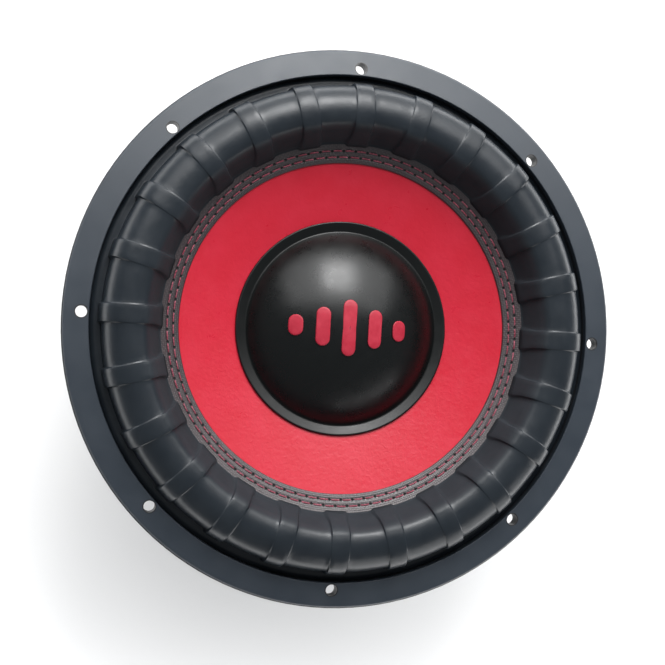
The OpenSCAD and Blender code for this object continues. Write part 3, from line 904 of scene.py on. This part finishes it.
def magnet_boot():
    """The rubber boot: two lips and a side with moulded grooves."""
    lo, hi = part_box("magnet_boot")
    clear = 0.2 * MM
    outer_r = hi.x
    inner_r = high("magnet_front").x + clear
    lip_r = high("top_plate").x + clear
    top_z, bottom_z = high("magnet_front").z + clear, low("magnet_rear").z - clear
    slope_r, slope_h = 2.5 * MM, 3 * MM
    grooves, depth, half_top, half_floor, soft = 5, 1.1 * MM, 1.3 * MM, 0.7 * MM, 0.3 * MM
    corners = [(lip_r, lo.z, 0.4 * MM), (outer_r - slope_r, lo.z, 0.8 * MM),
               (outer_r, lo.z + slope_h, 1.2 * MM)]
    for k in range(grooves):
        z = lo.z + (hi.z - lo.z) * (0.30 + 0.10 * k)
        corners += [(outer_r, z - half_top, soft), (outer_r - depth, z - half_floor, soft),
                    (outer_r - depth, z + half_floor, soft), (outer_r, z + half_top, soft)]
    corners += [(outer_r, hi.z - slope_h, 1.2 * MM), (outer_r - slope_r, hi.z, 0.8 * MM),
                (lip_r, hi.z, 0.4 * MM), (lip_r, top_z, 0.2 * MM), (inner_r, top_z, 0),
                (inner_r, bottom_z, 0), (lip_r, bottom_z, 0.2 * MM)]
    piece = lathe("magnet_boot_ribbed", rounded(corners, 4), boot_rubber(), 256)
    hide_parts("magnet_boot")
    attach(piece, "frame")


def springs(material):
    """A coil spring over each button."""
    turns = 3.5
    steps = 104
    wire_r = 0.36 * MM
    for joint in frame["joints"]:
        if not joint["name"].startswith("button"):
            continue
        node = joint["child"].replace("button", "spring")
        lo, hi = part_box(node)
        middle = (lo + hi) / 2
        coil_r = (hi.x - lo.x) / 2 - wire_r
        path = []
        for k in range(steps + 1):
            t = k / steps
            turn = TURN * turns * t
            rise = lo.z + wire_r + (hi.z - lo.z - 2 * wire_r) * ease(t)
            path.append(Vector((middle.x + coil_r * math.cos(turn),
                                middle.y + coil_r * math.sin(turn), rise)))
        piece = bundle("coil_" + node, [path], wire_r, material, 8)
        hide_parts(node)
        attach(piece, "frame")
        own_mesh(piece)


# ---------------------------------------------------------- carried-over CAD

def carry_over():
    """Gives the CAD nodes that stay their own materials."""
    steel = black_steel()
    brass = metal("brass_strip", (0.70, 0.50, 0.20), 0.30)
    black_plastic = moulded("terminal_black", (0.018, 0.018, 0.020), 0.48)
    looks = {
        "basket": cast_paint(),
        "trim_ring": trim_rubber(),
        "spider_spacer": moulded("spacer_black", (0.020, 0.020, 0.022), 0.55),
        "top_plate": steel,
        "back_plate_and_pole": steel,
        "magnet_front": ferrite(),
        "magnet_rear": ferrite(),
        "shorting_sleeve": metal("sleeve_aluminium", (0.80, 0.81, 0.83), 0.30),
        "vent_screen": metal("screen_steel", (0.30, 0.30, 0.31), 0.38),
        "motor_screws": metal("screw_black_oxide", (0.05, 0.05, 0.055), 0.35),
        "terminal_screws": metal("screw_zinc", (0.66, 0.66, 0.69), 0.28),
        "terminal_housing_a": black_plastic,
        "terminal_housing_b": black_plastic,
        "terminal_contacts_a": brass,
        "terminal_contacts_b": brass,
        "lead_tabs": brass,
        "coil_former": metal("former_aluminium", (0.66, 0.68, 0.72), 0.34),
        "former_wrap": kraft_wrap(),
        "button_a_pos": moulded("button_red", (0.50, 0.016, 0.022), 0.32),
        "button_a_neg": moulded("button_black", (0.014, 0.014, 0.016), 0.32),
    }
    looks["button_b_pos"] = looks["button_a_pos"]
    looks["button_b_neg"] = looks["button_a_neg"]
    for node, material in looks.items():
        slots = frame["nodes"][node].data.materials
        slots.clear()
        slots.append(material)


# ------------------------------------------------------------ stage and view

def panel_light(name, place, away, size, radiance):
    """A panel of light at a place, shining against the direction away."""
    lamp = bpy.data.lights.new(name, "AREA")
    lamp.shape = "RECTANGLE"
    lamp.size, lamp.size_y = size
    lamp.energy = radiance * math.pi * size[0] * size[1]
    holder = bpy.data.objects.new(name, lamp)
    bpy.context.scene.collection.objects.link(holder)
    holder.location = place
    holder.rotation_euler = away.to_track_quat("Z", "Y").to_euler()
    holder.visible_camera = False


def slant(up, across):
    """Direction that leans from straight above, by degrees towards +Y and towards +X."""
    return Vector((math.tan(math.radians(across)), math.tan(math.radians(up)), 1)).normalized()


def lights():
    """Soft panels round the part, four that light only the floor, and a dim sky."""
    panels = {  # direction, distance, size, radiance
        "window": (slant(48, 4), 2.0, (0.84, 0.88), 11),
        "window_glow": (slant(45, 3), 1.9, (3.6, 1.7), 2.2),
        "low_glow": (slant(79, 30), 2.0, (3.6, 0.6), 1.4),
        "bounce": (slant(-80, 75), 1.6, (1.6, 0.8), 1.6),
    }
    for name, (away, distance, size, radiance) in panels.items():
        panel_light(name, distance * away, away, size, radiance)
    for side in range(4):
        below_flange = polar(0.9, TURN * side / 4, -0.02)
        panel_light("floor_wash_%d" % side, below_flange, Vector((0, 0, 1)), (1.2, 1.2), 2.0)
    world = bpy.data.worlds.new("studio")
    bpy.context.scene.world = world
    world.use_nodes = True
    backdrop = world.node_tree.nodes["Background"]
    backdrop.inputs["Color"].default_value = (0.90, 0.95, 1.0, 1)
    backdrop.inputs["Strength"].default_value = 0.2
    bpy.context.scene.view_settings.view_transform = "Standard"


def floor():
    half = 3.0
    gap = 0.2 * MM
    z = cad_box[0][2] - gap
    corners = [(-half, -half, z), (half, -half, z), (half, half, z), (-half, half, z)]
    piece = link_mesh("floor", corners, [[0, 1, 2, 3]], pale_floor())


def camera():
    """A long lens almost straight above the cone, a little to the left of it. The angles turn the
    part before the lens, and the offset is where the middle of the trim ring's top then lies."""
    nod, lean, roll = (math.radians(a) for a in (-0.88, 11.66, -3.39))
    offset = Vector((8.13, 2.48, -758)) * MM
    turns = (Matrix.Rotation(nod, 3, "X") @ Matrix.Rotation(lean, 3, "Y")
             @ Matrix.Rotation(roll, 3, "Z"))
    view = bpy.data.cameras.new("camera")
    view.lens = 72
    view.sensor_width = 36
    holder = bpy.data.objects.new("camera", view)
    bpy.context.scene.collection.objects.link(holder)
    holder.rotation_euler = turns.transposed().to_euler()
    holder.location = Vector((0, 0, FLANGE_TOP)) - turns.transposed() @ offset
    bpy.context.scene.camera = holder


camera()
lights()
floor()
carry_over()
surround()
edge_ring()
thread = red_thread()
stitch_row("inner", thread)
stitch_row("outer", thread)
cone()
dust_cap()
emblem()
cloth = spider_cloth()
spider("spider_upper", cloth)
spider("spider_lower", cloth)
winding()
lead_metal = braid()
leads("a", 1, lead_metal)
leads("b", -1, lead_metal)
magnet_boot()
springs(metal("spring_steel", (0.62, 0.62, 0.65), 0.26))
